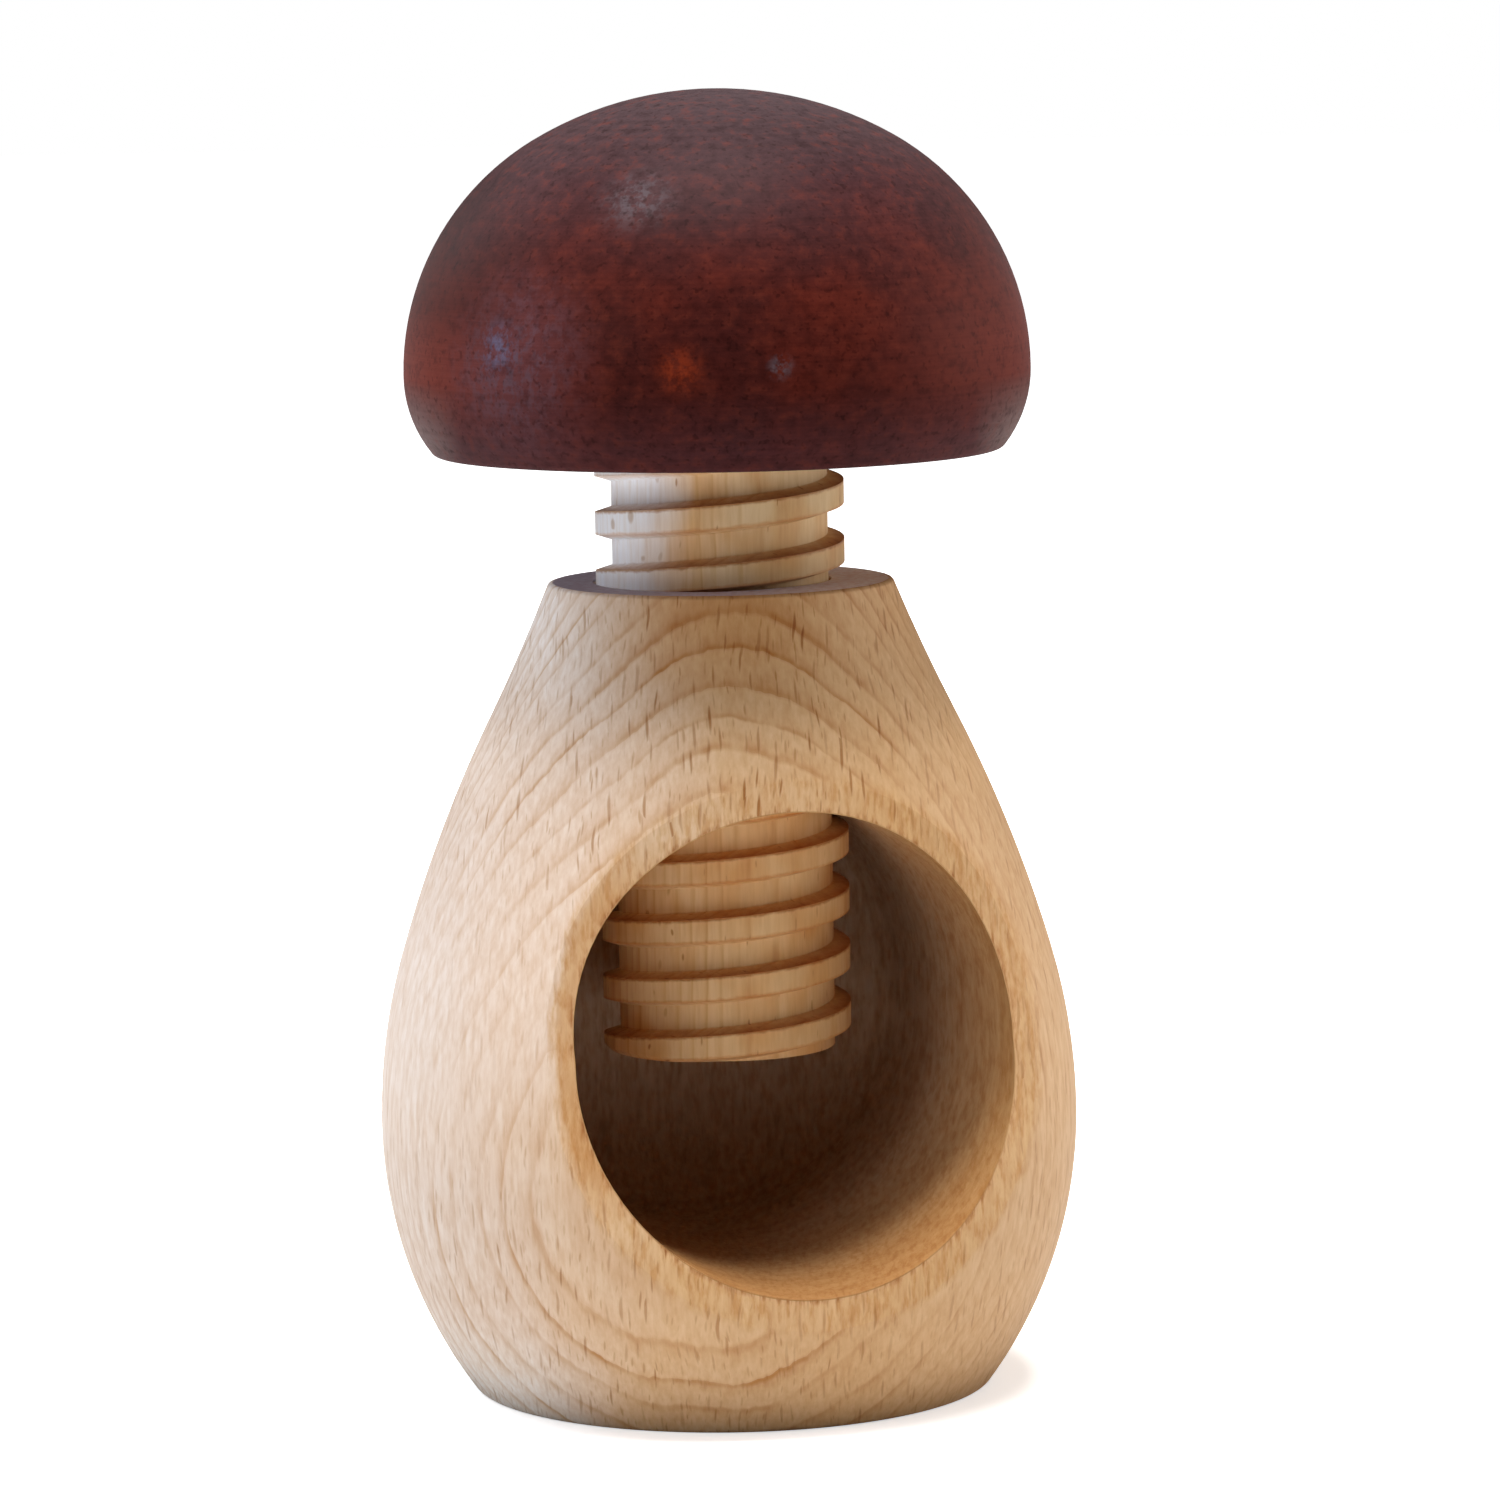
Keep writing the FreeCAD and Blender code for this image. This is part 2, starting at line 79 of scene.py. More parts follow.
lens = bpy.data.cameras.new("camera")
lens.lens = LENS_LENGTH
lens.sensor_width = SENSOR_WIDTH
camera = bpy.data.objects.new("camera", lens)
bpy.context.scene.collection.objects.link(camera)
upright = to_camera.to_track_quat("Z", "Y").to_matrix().to_4x4()
camera.matrix_world = (Matrix.Translation(aim + to_camera * CAMERA_DISTANCE)
                       @ upright @ Matrix.Rotation(CAMERA_LEAN, 4, "Z"))
bpy.context.scene.camera = camera
print("camera at", [round(value, 3) for value in camera.matrix_world.translation])

# %% [markdown]
# ## Helpers for materials
#
# A designer writes colours as hex values, which are sRGB, but shaders calculate in
# linear light, so one function turns the one into the other. A second function
# adds a node, sets it up and links it. A material is then a short list of steps.

# %% colours and nodes
def linear(hex_colour):
    """An sRGB hex colour as the linear colour that shaders work in."""
    channels = [int(hex_colour[place:place + 2], 16) / 255 for place in (1, 3, 5)]
    return [c / 12.92 if c <= 0.04045 else ((c + 0.055) / 1.055) ** 2.4 for c in channels] + [1.0]


def add(tree, kind, inputs=None, stops=None, **settings):
    """Adds a node. Inputs are values to set, or nodes and sockets to link; stops are a
    colour ramp's pairs of position and hex colour or grey level; settings are options."""
    node = tree.nodes.new("ShaderNode" + kind)
    for name, value in settings.items():
        setattr(node, name, value)
    for name, value in (inputs or {}).items():
        if isinstance(value, bpy.types.Node):
            value = value.outputs[0]
        if isinstance(value, bpy.types.NodeSocket):
            tree.links.new(value, node.inputs[name])
        else:
            node.inputs[name].default_value = value
    if stops:
        elements = node.color_ramp.elements
        while len(elements) < len(stops):
            elements.new(0.5)
        for element, (position, colour) in zip(elements, stops):
            element.position = position
            element.color = linear(colour) if isinstance(colour, str) else [colour] * 3 + [1]
    return node


print("the hex grey #808080 is", round(linear("#808080")[0], 3), "in linear light")

# %% [markdown]
# A finish is laid on in layers, and a mask says how far each one reaches. A dark
# line of grain or a thin stain lets the wood below show through, so its colour is
# multiplied in. A faded or worn place hides what is below, so it is mixed in.
#
# The relief of sanded wood is a few hundredths of a millimetre deep. That is far
# too fine for a mesh, so a bump bends the light as the relief would.

# %% materials, layers and relief
RELIEF_DEPTH = mm(0.08)


def new_material(name, **constants):
    """A material with one Principled shader whose constant sockets are set directly."""
    material = bpy.data.materials.new(name)
    material.use_nodes = True
    tree = material.node_tree
    tree.nodes.clear()
    values = {socket.replace("_", " "): value for socket, value in constants.items()}
    shader = add(tree, "BsdfPrincipled", values)
    add(tree, "OutputMaterial", {"Surface": shader})
    return material, tree, shader


def layered(tree, ground, layers, blend="MULTIPLY"):
    """Lays each tint on the ground, as far as its mask says. A tint is a hex colour or a node."""
    for mask, tint in layers:
        colour = linear(tint) if isinstance(tint, str) else tint
        ground = add(tree, "Mix", {0: mask, 6: ground, 7: colour},
                     data_type="RGBA", blend_type=blend).outputs[2]
    return ground


def put_on(tree, shader, colour, relief, strength):
    """Gives the shader its colour and its relief."""
    bump = add(tree, "Bump", {"Height": relief, "Strength": strength, "Distance": RELIEF_DEPTH})
    tree.links.new(colour, shader.inputs["Base Color"])
    tree.links.new(bump.outputs[0], shader.inputs["Normal"])


print("the relief is at most", RELIEF_DEPTH * 1000, "mm deep")

# %% [markdown]
# ## Beech, as a solid
#
# Beech is pale and even. What the eye knows it by are three things that run
# through the whole block: growth rings one to two millimetres apart, each ending
# in a thin darker line; rays, which a cut shows as short dark flecks along the
# grain; and a fine fibre. A turned piece cuts through them at every angle, and
# that makes the arches on its face and the close upright lines on its flanks.
#
# An image wrapped round the piece could never follow that, so the grain is a
# pattern in space. Each piece gets its own place in the log: the pith is a line
# some way behind the piece, and the rings are rounds about that line. From here on,
# what the helpers take as a size of the wood is in millimetres.

# %% the log
FACE_TURN = math.radians(15.7)      # the broad face of the grain, left of the cavity's mouth


def in_the_log(tree, turn, pith_distance, lean=0.0, aside=0.0):
    """Object coordinates in the log's frame: the pith is the Z axis, the piece lies at -Y."""
    place = add(tree, "TexCoord").outputs["Object"]
    return add(tree, "Mapping", {"Vector": place, "Rotation": (0, lean, turn),
                                 "Location": (mm(aside), -mm(pith_distance), 0)})


def lumps(tree, place, size, detail=2.0, roughness=0.5):
    """A wandering value, 0 to 1, whose lumps have that size along X, Y and Z."""
    lumps_a_metre = [1 / mm(length) for length in size]
    scaled = add(tree, "VectorMath", {0: place, 1: lumps_a_metre}, operation="MULTIPLY")
    return add(tree, "TexNoise", {"Vector": scaled, "Scale": 1.0, "Detail": detail, "Roughness": roughness})


print("the broad face of the grain is turned", round(math.degrees(FACE_TURN), 1), "degrees to the left")

# %% [markdown]
# A ring isn't a clean circle. It wanders over centimetres as the tree grew, and
# each ray that crosses it pushes it up or down a little, so that a ring line on a
# cut face looks stepped. Both wanders are added to the distance from the pith
# before it is counted in rings. Lean years make some rings narrower than others.

# %% counting the rings
LEAN_YEARS = 1.3      # how many rings the lean years shift the count by, at most


def ring_count(tree, log, ring_width, wander, stepping):
    """How many rings a place is from the pith."""
    flat = add(tree, "VectorMath", {0: log, 1: (1, 1, 0)}, operation="MULTIPLY")
    out = add(tree, "VectorMath", {0: flat}, operation="LENGTH").outputs["Value"]
    slow = lumps(tree, log, (33, 33, 90), 3.0, 0.45)
    quick = lumps(tree, log, (0.9, 4, 4), 1.0)
    wandering = add(tree, "Math", {0: slow, 1: mm(wander), 2: out}, operation="MULTIPLY_ADD")
    stepped = add(tree, "Math", {0: quick, 1: mm(stepping), 2: wandering}, operation="MULTIPLY_ADD")
    count = add(tree, "Math", {0: stepped, 1: mm(ring_width)}, operation="DIVIDE")
    lean_years = add(tree, "TexNoise", {"W": count, "Scale": 0.35, "Detail": 1.0}, noise_dimensions="1D")
    return add(tree, "Math", {0: lean_years, 1: LEAN_YEARS, 2: count}, operation="MULTIPLY_ADD")


print("lean years shift the count by up to", LEAN_YEARS, "rings")

# %% [markdown]
# Within a ring the wood darkens slowly towards the late wood, and the next ring
# starts pale at once. The ring's own number picks how strong its line is, and the
# line fades and comes back along its way, because a ruler-drawn line would give
# the pattern away.

# %% growth rings
RING_DARKNESS = [(0.0, 0.5), (0.08, 0.0), (0.50, 0.1), (0.80, 0.45), (0.93, 1.0), (1.0, 0.9)]


def late_wood(tree, log, ring_width, wander, stepping):
    """How dark the ring is at a place, 0 to 1."""
    rings = ring_count(tree, log, ring_width, wander, stepping)
    within = add(tree, "Math", {0: rings}, operation="FRACT")
    darkness = add(tree, "ValToRGB", {"Fac": within}, stops=RING_DARKNESS)
    year = add(tree, "Math", {0: rings}, operation="FLOOR")
    vigour = add(tree, "TexWhiteNoise", {"W": year}, noise_dimensions="1D")
    weight = add(tree, "MapRange", {"Value": vigour, "To Min": 0.5, "To Max": 1.0})
    faint = lumps(tree, log, (3, 3, 5), 2.0)
    broken = add(tree, "MapRange", {"Value": faint, "From Min": 0.35, "From Max": 0.6, "To Min": 0.45})
    even = add(tree, "Math", {0: darkness, 1: weight}, operation="MULTIPLY")
    return add(tree, "Math", {0: even, 1: broken}, operation="MULTIPLY")


print("a ring is darkest at", max(RING_DARKNESS, key=lambda stop: stop[1])[0], "of its width")

# %% [markdown]
# A ray is a thin upright sheet that runs out from the pith. A cut across it shows
# a dark dash two to four millimetres long, and a cut along it shows a wider fleck.
# Each cell of a Voronoi pattern holds one sheet. The distance to the cell's point
# is measured in the sheet's own proportions, so a sheet can be far longer than it
# is thick. The cell's random colour gives each sheet its size and strength.

# %% rays
RAY_SWAY = 1.6


def ray_flecks(tree, log, pith_distance, spacing, half_size):
    """Rays, 0 to 1. Spacing and half size are lengths across, along and up the ray."""
    parts = add(tree, "SeparateXYZ", {"Vector": log})
    behind = add(tree, "Math", {0: parts.outputs["Y"], 1: -1.0}, operation="MULTIPLY")
    angle = add(tree, "Math", {0: parts.outputs["X"], 1: behind}, operation="ARCTAN2")
    around = add(tree, "Math", {0: angle, 1: mm(pith_distance)}, operation="MULTIPLY")
    sway = lumps(tree, log, (12, 12, 9))
    swayed = add(tree, "Math", {0: sway, 1: mm(RAY_SWAY), 2: around}, operation="MULTIPLY_ADD")
    unrolled = add(tree, "CombineXYZ", {"X": swayed, "Y": behind, "Z": parts.outputs["Z"]})

    cells_a_metre = [1 / mm(length) for length in spacing]
    sheets_a_cell = [mm(cell) / mm(half) for cell, half in zip(spacing, half_size)]
    in_cells = add(tree, "VectorMath", {0: unrolled, 1: cells_a_metre}, operation="MULTIPLY")
    cells = add(tree, "TexVoronoi", {"Vector": in_cells, "Scale": 1.0, "Randomness": 1.0})
    away = add(tree, "VectorMath", {0: in_cells, 1: cells.outputs["Position"]}, operation="SUBTRACT")
    in_sheets = add(tree, "VectorMath", {0: away, 1: sheets_a_cell}, operation="MULTIPLY")
    distance = add(tree, "VectorMath", {0: in_sheets}, operation="LENGTH").outputs["Value"]

    luck = add(tree, "SeparateColor", {"Color": cells.outputs["Color"]})
    size = add(tree, "MapRange", {"Value": luck.outputs["Red"], "To Min": 0.55, "To Max": 1.2})
    fade = add(tree, "Math", {0: distance, 1: size}, operation="DIVIDE")
    inside = add(tree, "MapRange", {"Value": fade, "From Min": 1.0, "From Max": 0.45},
                 interpolation_type="SMOOTHSTEP")
    strength = add(tree, "MapRange", {"Value": luck.outputs["Green"], "To Min": 0.35, "To Max": 1.0})
    return add(tree, "Math", {0: inside, 1: strength}, operation="MULTIPLY")


print("rays sway sideways by up to", RAY_SWAY, "mm")

# %% [markdown]
# ## Where the cutters worked
#
# The cavity is a round hole, bored in from the side in two passes that left it a
# little taller than wide, with a rounded blind end. To tell its wall from the
# outside, a material needs the distance to that wall, and a few steps of
# arithmetic give it: fold the height onto one circle, measure how far out the
# place is, and go round the corner at the blind end. The frame gives boxes and not
# bores, so the cutter's sizes are written here once more.

# %% the cavity's wall
CAVITY_RADIUS, CAVITY_HEIGHT, CAVITY_STRETCH = mm(22.8), mm(38.5), mm(1.2)
CAVITY_DEPTH, CAVITY_CORNER = mm(25), mm(10)


def off_the_wall(tree, place):
    """Distance into the wood from the cavity's wall, below 0 inside the cavity."""
    parts = add(tree, "SeparateXYZ", {"Vector": place})
    rise = add(tree, "Math", {0: parts.outputs["Z"], 1: CAVITY_HEIGHT}, operation="SUBTRACT")
    height = add(tree, "Math", {0: rise}, operation="ABSOLUTE")
    past_stretch = add(tree, "Math", {0: height, 1: CAVITY_STRETCH}, operation="SUBTRACT")
    curved = add(tree, "Math", {0: past_stretch, 1: 0.0}, operation="MAXIMUM")
    across = add(tree, "CombineXYZ", {"X": parts.outputs["X"], "Y": curved})
    radius = add(tree, "VectorMath", {0: across}, operation="LENGTH").outputs["Value"]
    past_nose = add(tree, "CombineXYZ", {"X": radius, "Y": parts.outputs["Y"]})
    corner_middle = (CAVITY_RADIUS - CAVITY_CORNER, CAVITY_DEPTH - CAVITY_CORNER, 0)
    beyond = add(tree, "VectorMath", {0: past_nose, 1: corner_middle}, operation="SUBTRACT")
    corner = add(tree, "VectorMath", {0: beyond, 1: (0, 0, 0)}, operation="MAXIMUM")
    reach = add(tree, "VectorMath", {0: corner}, operation="LENGTH").outputs["Value"]
    return add(tree, "Math", {0: reach, 1: CAVITY_CORNER}, operation="SUBTRACT")


print(f"cavity {2000 * CAVITY_RADIUS:.1f} mm wide, {2000 * (CAVITY_RADIUS + CAVITY_STRETCH):.1f} mm high")

# %% [markdown]
# ## Bare beech, turned and sanded
#
# The stem is bare wood, sanded and left without oil. It scatters nearly all the light that falls on it, so
# its roughness is high and it has no coat. It is built up as the real piece was: the grain comes first,
# then the tone, and then what the cutters and the stain did to it, with some light and shade painted in
# among them.
#
# The pith runs 90 mm behind the stem's axis, and for the rings it also leans by
# 9 degrees, which closes them into arches above and below the cavity. Real fibres
# are a few hundredths of a millimetre wide and wouldn't show, so they are drawn as
# bundles 0.4 mm wide.

# %% the stem's grain
STEM_PITH = 89.8
RING_LEAN = math.radians(9)
LEANS_ABOUT = 75      # the height that stays in place as the rings lean

stem_finish, tree, shader = new_material("bare_beech", Roughness=0.62, Specular_IOR_Level=0.3)
place = add(tree, "TexCoord").outputs["Object"]
parts = add(tree, "SeparateXYZ", {"Vector": place})
height = parts.outputs["Z"]
log = in_the_log(tree, FACE_TURN, STEM_PITH)
side = add(tree, "SeparateXYZ", {"Vector": log}).outputs["X"]
leaning_log = in_the_log(tree, FACE_TURN, STEM_PITH, RING_LEAN, -LEANS_ABOUT * math.sin(RING_LEAN))

rings = late_wood(tree, leaning_log, ring_width=1.9, wander=7, stepping=0.3)
long_rays = ray_flecks(tree, log, STEM_PITH, spacing=(1.0, 4, 3.6), half_size=(0.16, 2.0, 1.9))
short_rays = ray_flecks(tree, log, STEM_PITH, spacing=(0.7, 2, 1.9), half_size=(0.12, 0.9, 0.85))
fibres = lumps(tree, log, (0.4, 0.8, 6), 3.0, 0.6)
clouds = lumps(tree, log, (14, 14, 30), 2.0)
mottle = lumps(tree, place, (0.8, 0.8, 2.6), 3.0, 0.6)
ragged = lumps(tree, place, (0.7, 0.7, 0.9), 3.0, 0.65)
streaks = lumps(tree, log, (0.6, 2, 2.4), 3.0, 0.6)
print("the stem's grain takes", len(tree.nodes), "nodes")

# %% [markdown]
# Beech drifts in tone over centimetres. Here a pinkish white on the left side goes over to honey on the
# right, and below the cavity's middle the honey reaches further left. This drift is partly the wood's own
# and partly painted light: the cool light from the left and the warm light from the right are painted into
# it. The border wanders with the clouds, so that it never looks drawn.

# %% the stem's tone
level = add(tree, "Math", {0: height, 1: neck_top}, operation="DIVIDE")
low = add(tree, "ValToRGB", {"Fac": level}, stops=[(0.0, 0.9), (0.16, 1.0), (0.36, 1.0), (0.53, 0.0)])
drifting = add(tree, "Math", {0: low, 1: mm(7), 2: side}, operation="MULTIPLY_ADD")
across = add(tree, "Math", {0: clouds, 1: mm(14), 2: drifting}, operation="MULTIPLY_ADD")
honey = add(tree, "MapRange", {"Value": across, "From Min": -mm(28), "From Max": mm(42)})
# the tone is partly painted light: a cool pale white on the left, a warm honey on the right
tone = add(tree, "ValToRGB", {"Fac": honey}, stops=[
    (0.0, "#e2d6cd"), (0.3, "#e4cebb"), (0.5, "#e2bd92"), (0.75, "#dfb584"), (1.0, "#dab58b")])
print("with its tone,", len(tree.nodes))

# %% [markdown]
# The grain doesn't show the same everywhere. Its lines are clearest in front, where
# the light is even, and fainter on the pale left side and far round to the right.
# Beside the cavity's mouth the left of the belly is sanded so smooth that rings and
# rays almost vanish.

# %% where the grain shows
SMOOTH_HEIGHT = CAVITY_HEIGHT + mm(3)

lines_show = add(tree, "ValToRGB", {"Fac": honey}, stops=[
    (0.05, 0.4), (0.3, 0.7), (0.45, 1.0), (0.65, 0.9), (0.85, 0.35)])
rays_show = add(tree, "MapRange", {"Value": lines_show, "From Min": 0.4, "To Min": 0.6})
above_middle = add(tree, "Math", {0: height, 1: SMOOTH_HEIGHT}, operation="SUBTRACT")
off_middle = add(tree, "Math", {0: above_middle}, operation="ABSOLUTE")
midway = add(tree, "MapRange", {"Value": off_middle, "From Min": mm(19), "From Max": mm(6)})
leftwards = add(tree, "MapRange", {"Value": parts.outputs["X"], "From Min": mm(8), "From Max": -mm(14)})
smooth = add(tree, "Math", {0: midway, 1: leftwards}, operation="MULTIPLY")
strength = add(tree, "MapRange", {"Value": smooth, "To Min": 1.0, "To Max": 0.4})
clear_lines = add(tree, "Math", {0: lines_show, 1: strength}, operation="MULTIPLY")
clear_rays = add(tree, "Math", {0: rays_show, 1: strength}, operation="MULTIPLY")
print("with the smooth places,", len(tree.nodes))

# %% [markdown]
# Round the mouth a worn bevel about 3 mm wide shows end grain. Its inner border is
# the wall itself, and its outer border wanders and is torn along the streaks, so
# the distance to the wall is compared with a width that changes from place to
# place.

# %% the bevel round the mouth
LIP_WIDTH = mm(3.4)

wall = off_the_wall(tree, place)
on_wall = add(tree, "MapRange", {"Value": wall, "From Min": mm(0.16), "From Max": mm(0.06)})
uncut = add(tree, "Math", {0: 1.0, 1: on_wall}, operation="SUBTRACT")
wander = add(tree, "Math", {0: clouds, 1: -mm(1.2), 2: LIP_WIDTH + mm(0.75)}, operation="MULTIPLY_ADD")
narrowed = add(tree, "Math", {0: smooth, 1: -mm(1.3), 2: wander}, operation="MULTIPLY_ADD")
torn_border = add(tree, "Math", {0: streaks, 1: mm(1.2), 2: narrowed}, operation="MULTIPLY_ADD")
depth = add(tree, "Math", {0: torn_border, 1: wall}, operation="SUBTRACT")
near_mouth = add(tree, "MapRange", {"Value": depth, "From Min": mm(0.1), "From Max": mm(1.5)},
                 interpolation_type="SMOOTHSTEP")
on_lip = add(tree, "Math", {0: near_mouth, 1: uncut}, operation="MULTIPLY")
print("with the bevel,", len(tree.nodes))

# %% [markdown]
# The bevel isn't the same all round either. Its left side is painted browner, a painted shade, for there it
# turns away from the light on the left. Its two sides differ a little from its top and bottom, and torn
# fibres darken it in streaks, most of all right at the wall's edge.

# %% parts of the bevel
# painted shade on the left of the bevel
beside_smooth = add(tree, "MapRange", {"Value": smooth, "From Max": 0.45})
shaded_left_lip = add(tree, "Math", {0: beside_smooth, 1: on_lip}, operation="MULTIPLY")
off_axis = add(tree, "Math", {0: parts.outputs["X"]}, operation="ABSOLUTE")
beside = add(tree, "MapRange", {"Value": off_axis, "From Min": mm(3), "From Max": mm(12)})
side_lip = add(tree, "Math", {0: beside, 1: on_lip}, operation="MULTIPLY")
torn = add(tree, "MapRange", {"Value": streaks, "From Min": 0.45, "From Max": 0.65})
torn_lip = add(tree, "Math", {0: torn, 1: on_lip}, operation="MULTIPLY")
at_edge = add(tree, "MapRange", {"Value": wall, "From Min": mm(0.6), "From Max": mm(0.0)})
torn_edge = add(tree, "Math", {0: at_edge, 1: torn_lip}, operation="MULTIPLY")
print("with its parts,", len(tree.nodes))

# %% [markdown]
# Inside the cavity each pass of the cutter rubbed a faint band round the wall, and the wood tore in
# streaks. The floor, low in the cavity, is painted darker: painted shade deep in the hole.

# %% marks on the cavity's wall, and its painted shade
CUTTER_STEP = mm(2.4)

passes = add(tree, "TexNoise", {"W": parts.outputs["Y"], "Scale": 1 / CUTTER_STEP, "Detail": 1.0},
             noise_dimensions="1D")
rubbed = add(tree, "MapRange", {"Value": passes, "From Min": 0.4, "From Max": 0.7})
cutter_marks = add(tree, "Math", {0: rubbed, 1: on_wall}, operation="MULTIPLY")
torn_wall = add(tree, "Math", {0: torn, 1: on_wall}, operation="MULTIPLY")
# painted shade: the cavity's floor is painted darker
low_in_cavity = add(tree, "MapRange", {"Value": height, "From Min": mm(30), "From Max": mm(17)})
shaded_floor = add(tree, "Math", {0: low_in_cavity, 1: on_wall}, operation="MULTIPLY")
print("with the marks on the wall,", len(tree.nodes))

# %% [markdown]
# Now each pattern of the grain is given its strength: rings fade out on the bevel,
# where the end grain shows instead, and rays fade on the bored wall and a little
# towards the foot.

# %% the grain that is left
on_outside = add(tree, "MapRange", {"Value": near_mouth, "To Min": 1.0, "To Max": 0.15})
outer_rings = add(tree, "Math", {0: rings, 1: on_outside}, operation="MULTIPLY")
shown_rings = add(tree, "Math", {0: outer_rings, 1: clear_lines}, operation="MULTIPLY")
towards_foot = add(tree, "MapRange", {"Value": height, "From Min": mm(15), "From Max": mm(55),
                                      "To Min": 0.8})
outer_rays = add(tree, "Math", {0: clear_rays, 1: towards_foot}, operation="MULTIPLY")
ray_strength = add(tree, "MapRange", {"Value": on_wall, "To Min": outer_rays, "To Max": 0.15})
shown_rays = add(tree, "Math", {0: long_rays, 1: ray_strength}, operation="MULTIPLY")
shown_dots = add(tree, "Math", {0: short_rays, 1: ray_strength}, operation="MULTIPLY")
fibre_dark = add(tree, "MapRange", {"Value": fibres, "From Min": 0.65, "From Max": 0.3})
mottled = add(tree, "MapRange", {"Value": mottle, "From Min": 0.6, "From Max": 0.35})
print("with the grain's strengths,", len(tree.nodes))

# %% [markdown]
# The ground colour is laid down before the grain. The outside has its drifting tone, painted paler towards
# white at the foot and under the cap on the left side: painted light, where the light falls on those ends.
# The wall of the cavity is warm near the mouth and paler further in.

# %% the ground colour
under_cap = add(tree, "MapRange", {"Value": height, "From Min": mm(68), "From Max": mm(82)},
                interpolation_type="SMOOTHSTEP")
on_left = add(tree, "ValToRGB", {"Fac": honey}, stops=[(0.25, 1.0), (0.45, 0.0)])
# painted light: the left side is painted paler at the foot and under the cap
ends = add(tree, "MapRange", {"Value": height, "From Min": mm(11), "From Max": mm(3), "To Min": under_cap})
painted_pale_ends = add(tree, "Math", {0: ends, 1: on_left}, operation="MULTIPLY")
painted_pale = add(tree, "ValToRGB", {"Fac": level}, stops=[(0.1, "#f6eee6"), (0.8, "#e9e1dc")])
outside = layered(tree, tone, [(painted_pale_ends, painted_pale)], "MIX")
inwards = add(tree, "MapRange", {"Value": parts.outputs["Y"], "From Min": -mm(24), "From Max": mm(10)})
inside = layered(tree, linear("#c69c68"), [(inwards, "#d4b698")], "MIX")
ground = layered(tree, outside, [(on_wall, inside)], "MIX")
print("with the ground,", len(tree.nodes))

# %% [markdown]
# Two faint tints are painted light and shade: the front of the neck is painted warmer and darker under the
# cap, as the cap's painted shade, and the flanks at the shoulders are painted a little greyer, for the cool
# light from the sides.

# %% painted light and shade
in_front = add(tree, "ValToRGB", {"Fac": honey}, stops=[(0.25, 0.0), (0.42, 1.0), (0.55, 1.0), (0.72, 0.2)])
# painted shade of the cap on the front of the neck
shaded_neck = add(tree, "Math", {0: under_cap, 1: in_front}, operation="MULTIPLY")
sideways = add(tree, "Math", {0: side}, operation="ABSOLUTE")
on_flank = add(tree, "MapRange", {"Value": sideways, "From Min": mm(14), "From Max": mm(28)})
at_shoulder = add(tree, "ValToRGB", {"Fac": level}, stops=[
    (0.36, 0.0), (0.48, 0.5), (0.62, 1.0), (0.72, 1.0), (0.8, 0.0)])
# painted cool side light, a little greyer, on the shoulders' flanks
grey_lit_flanks = add(tree, "Math", {0: on_flank, 1: at_shoulder}, operation="MULTIPLY")
print("with the tints from use,", len(tree.nodes))

# %% [markdown]
# All of it is multiplied onto the ground in one list, from the broadest tint to the
# finest mark. Each tint is close to white, because many thin layers give wood its
# depth, and one strong layer gives it a printed look.

# %% the stem's layers
colour = layered(tree, ground, [
    (shaded_neck, "#e6d2b6"), (grey_lit_flanks, "#efeeee"),
    (shown_rings, "#cc9e4c"), (fibre_dark, "#f7f0e9"), (mottled, "#f6f0e9"),
    (shown_rays, "#c8a982"), (shown_dots, "#e0cfb8"),
    (side_lip, "#f9f4e8"), (shaded_left_lip, "#ecd8ba"), (torn_lip, "#efdfc6"), (torn_edge, "#c49a6e"),
    (cutter_marks, "#f6efe6"), (torn_wall, "#eddfcd"), (shaded_floor, "#ece3d8")])
print("with its layers,", len(tree.nodes))

# %% [markdown]
# The neck's flat top took stain from the cap, which screws down onto it, all but a ragged pale rim. It is
# purplish on the left and paler on the right, partly the stain and partly painted light: the right is
# painted pale where the cap's shade falls on it. The relief comes last. Rays lie a little sunk between the
# fibres, and the bevel and the bored wall are rough.

# %% the stained neck top, and the relief
STAIN_RADIUS = mm(17.6)

flat = add(tree, "VectorMath", {0: place, 1: (1, 1, 0)}, operation="MULTIPLY")
out = add(tree, "VectorMath", {0: flat}, operation="LENGTH").outputs["Value"]
ragged_rim = add(tree, "Math", {0: ragged, 1: mm(0.5), 2: out}, operation="MULTIPLY_ADD")
inside_rim = add(tree, "MapRange", {"Value": ragged_rim, "From Min": STAIN_RADIUS, "From Max": mm(17.4)})
at_top = add(tree, "MapRange", {"Value": height, "From Min": neck_top - mm(0.35),
                                "From Max": neck_top - mm(0.1)})
stained = add(tree, "Math", {0: inside_rim, 1: at_top}, operation="MULTIPLY")
# the stain, with painted light: paler to the right, where the cap shades the face
stain_and_painted_light = add(tree, "ValToRGB", {"Fac": honey}, stops=[(0.28, "#8e848e"), (0.5, "#c2b2ba"), (0.7, "#fff0e6")])
patchy = layered(tree, stain_and_painted_light, [(mottled, "#ecdcd4")])
colour = layered(tree, colour, [(stained, patchy)], "MIX")

sunk = add(tree, "Math", {0: shown_rays, 1: -0.6, 2: fibres}, operation="MULTIPLY_ADD")
rough_lip = add(tree, "Math", {0: ragged, 1: near_mouth}, operation="MULTIPLY")
relief = add(tree, "Math", {0: rough_lip, 1: 2.0, 2: sunk}, operation="MULTIPLY_ADD")
put_on(tree, shader, colour, relief, strength=0.3)
print("the stem's finish takes", len(tree.nodes), "nodes in all")

